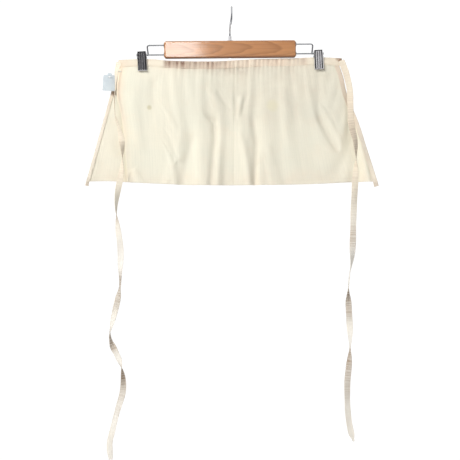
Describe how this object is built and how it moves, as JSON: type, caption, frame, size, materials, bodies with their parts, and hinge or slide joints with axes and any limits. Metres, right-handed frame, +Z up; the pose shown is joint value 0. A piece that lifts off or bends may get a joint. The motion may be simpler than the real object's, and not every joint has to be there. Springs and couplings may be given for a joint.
{
  "type": "apron on a hook",
  "caption": "Short cotton waist apron with long ties and a blank hang tag, gripped by sprung clips on the sliding wire arms of a wooden swivel-hook hanger.",
  "frame": {"origin": "inside of the hook's crown, where a rail carries the hanger", "axes": "+X along the wooden bar to the viewer's right, +Y away from the viewer, +Z up"},
  "size_m": [0.5882, 0.046, 0.9034],
  "materials": {
    "chrome_wire": "bright plated wire, slightly dulled",
    "clip_metal": "bright plated sheet, ribbed",
    "zinc_steel": "plain zinc plated",
    "wood": "clear satin varnish on warm reddish-brown wood",
    "cotton": "unbleached ribbed cotton, soft and slightly creased",
    "tie_tape": "folded and edge-stitched cotton strip",
    "pad_rubber": "matt black rubber",
    "card": "matt pale blue-grey card",
    "nylon": "clear nylon thread"
  },
  "bodies": {
    "hook": {"hook_wire": "chrome_wire", "hook_washer": "zinc_steel", "hook_nut": "zinc_steel"},
    "bar": {"hanger_bar": "wood", "hook_ferrule": "chrome_wire", "left_upper_bush": "zinc_steel", "left_lower_bush": "zinc_steel", "right_upper_bush": "zinc_steel", "right_lower_bush": "zinc_steel"},
    "left_arm": {"left_arm_wire": "chrome_wire", "left_upper_stop_collar": "zinc_steel", "left_lower_stop_collar": "zinc_steel", "left_axle_washer": "zinc_steel"},
    "right_arm": {"right_arm_wire": "chrome_wire", "right_upper_stop_collar": "zinc_steel", "right_lower_stop_collar": "zinc_steel", "right_axle_washer": "zinc_steel"},
    "left_clip": {"left_clip_back_plate": "clip_metal", "left_clip_back_pad": "pad_rubber", "left_clip_pin": "zinc_steel", "left_clip_spring": "zinc_steel"},
    "right_clip": {"right_clip_back_plate": "clip_metal", "right_clip_back_pad": "pad_rubber", "right_clip_pin": "zinc_steel", "right_clip_spring": "zinc_steel"},
    "left_jaw": {"left_clip_front_plate": "clip_metal", "left_clip_front_pad": "pad_rubber"},
    "right_jaw": {"right_clip_front_plate": "clip_metal", "right_clip_front_pad": "pad_rubber"},
    "apron": {"waistband": "cotton", "left_skirt_panel": "cotton", "right_skirt_panel": "cotton", "left_side_binding": "cotton", "right_side_binding": "cotton", "left_tie": "tie_tape", "right_tie": "tie_tape", "tag_fastener": "nylon"},
    "tag": {"hang_tag": "card"}
  },
  "joints": [
    {"name": "hook_swivel", "type": "hinge", "parent": "hook", "child": "bar", "pos_m": [-0.004, 0, -0.066], "axis": [0, 0, 1], "continuous": true},
    {"name": "left_arm_slide", "type": "slide", "parent": "bar", "child": "left_arm", "axis": [-1, 0, 0], "range_m": [-0.029, 0.015]},
    {"name": "right_arm_slide", "type": "slide", "parent": "bar", "child": "right_arm", "axis": [1, 0, 0], "range_m": [-0.029, 0.015]},
    {"name": "left_clip_swing", "type": "hinge", "parent": "left_arm", "child": "left_clip", "pos_m": [-0.1805, 0, -0.0926], "axis": [1, 0, 0], "range_deg": [-25, 25]},
    {"name": "right_clip_swing", "type": "hinge", "parent": "right_arm", "child": "right_clip", "pos_m": [0.1725, 0, -0.0926], "axis": [1, 0, 0], "range_deg": [-25, 25]},
    {"name": "left_jaw_open", "type": "hinge", "parent": "left_clip", "child": "left_jaw", "pos_m": [-0.18024, 0, -0.09849], "axis": [-0.999, 0, -0.0436], "range_deg": [0, 20], "stiffness_Nm_per_rad": 0.15, "springref_deg": -28.65, "deforming": ["left_clip_spring"]},
    {"name": "right_jaw_open", "type": "hinge", "parent": "right_clip", "child": "right_jaw", "pos_m": [0.17276, 0, -0.09849], "axis": [-0.999, 0, -0.0436], "range_deg": [0, 20], "stiffness_Nm_per_rad": 0.15, "springref_deg": -28.65, "deforming": ["right_clip_spring"]},
    {"name": "apron_release", "type": "slide", "parent": "left_clip", "child": "apron", "axis": [0, 0, -1], "range_m": [0, 0.045]},
    {"name": "tag_swing", "type": "hinge", "parent": "apron", "child": "tag", "pos_m": [-0.245, -0.0044, -0.136], "axis": [0, 1, 0], "range_deg": [-20, 20]}
  ],
  "couplings": [
    {"joint": "right_clip_swing", "follows": "left_clip_swing", "ratio": 1}
  ]
}
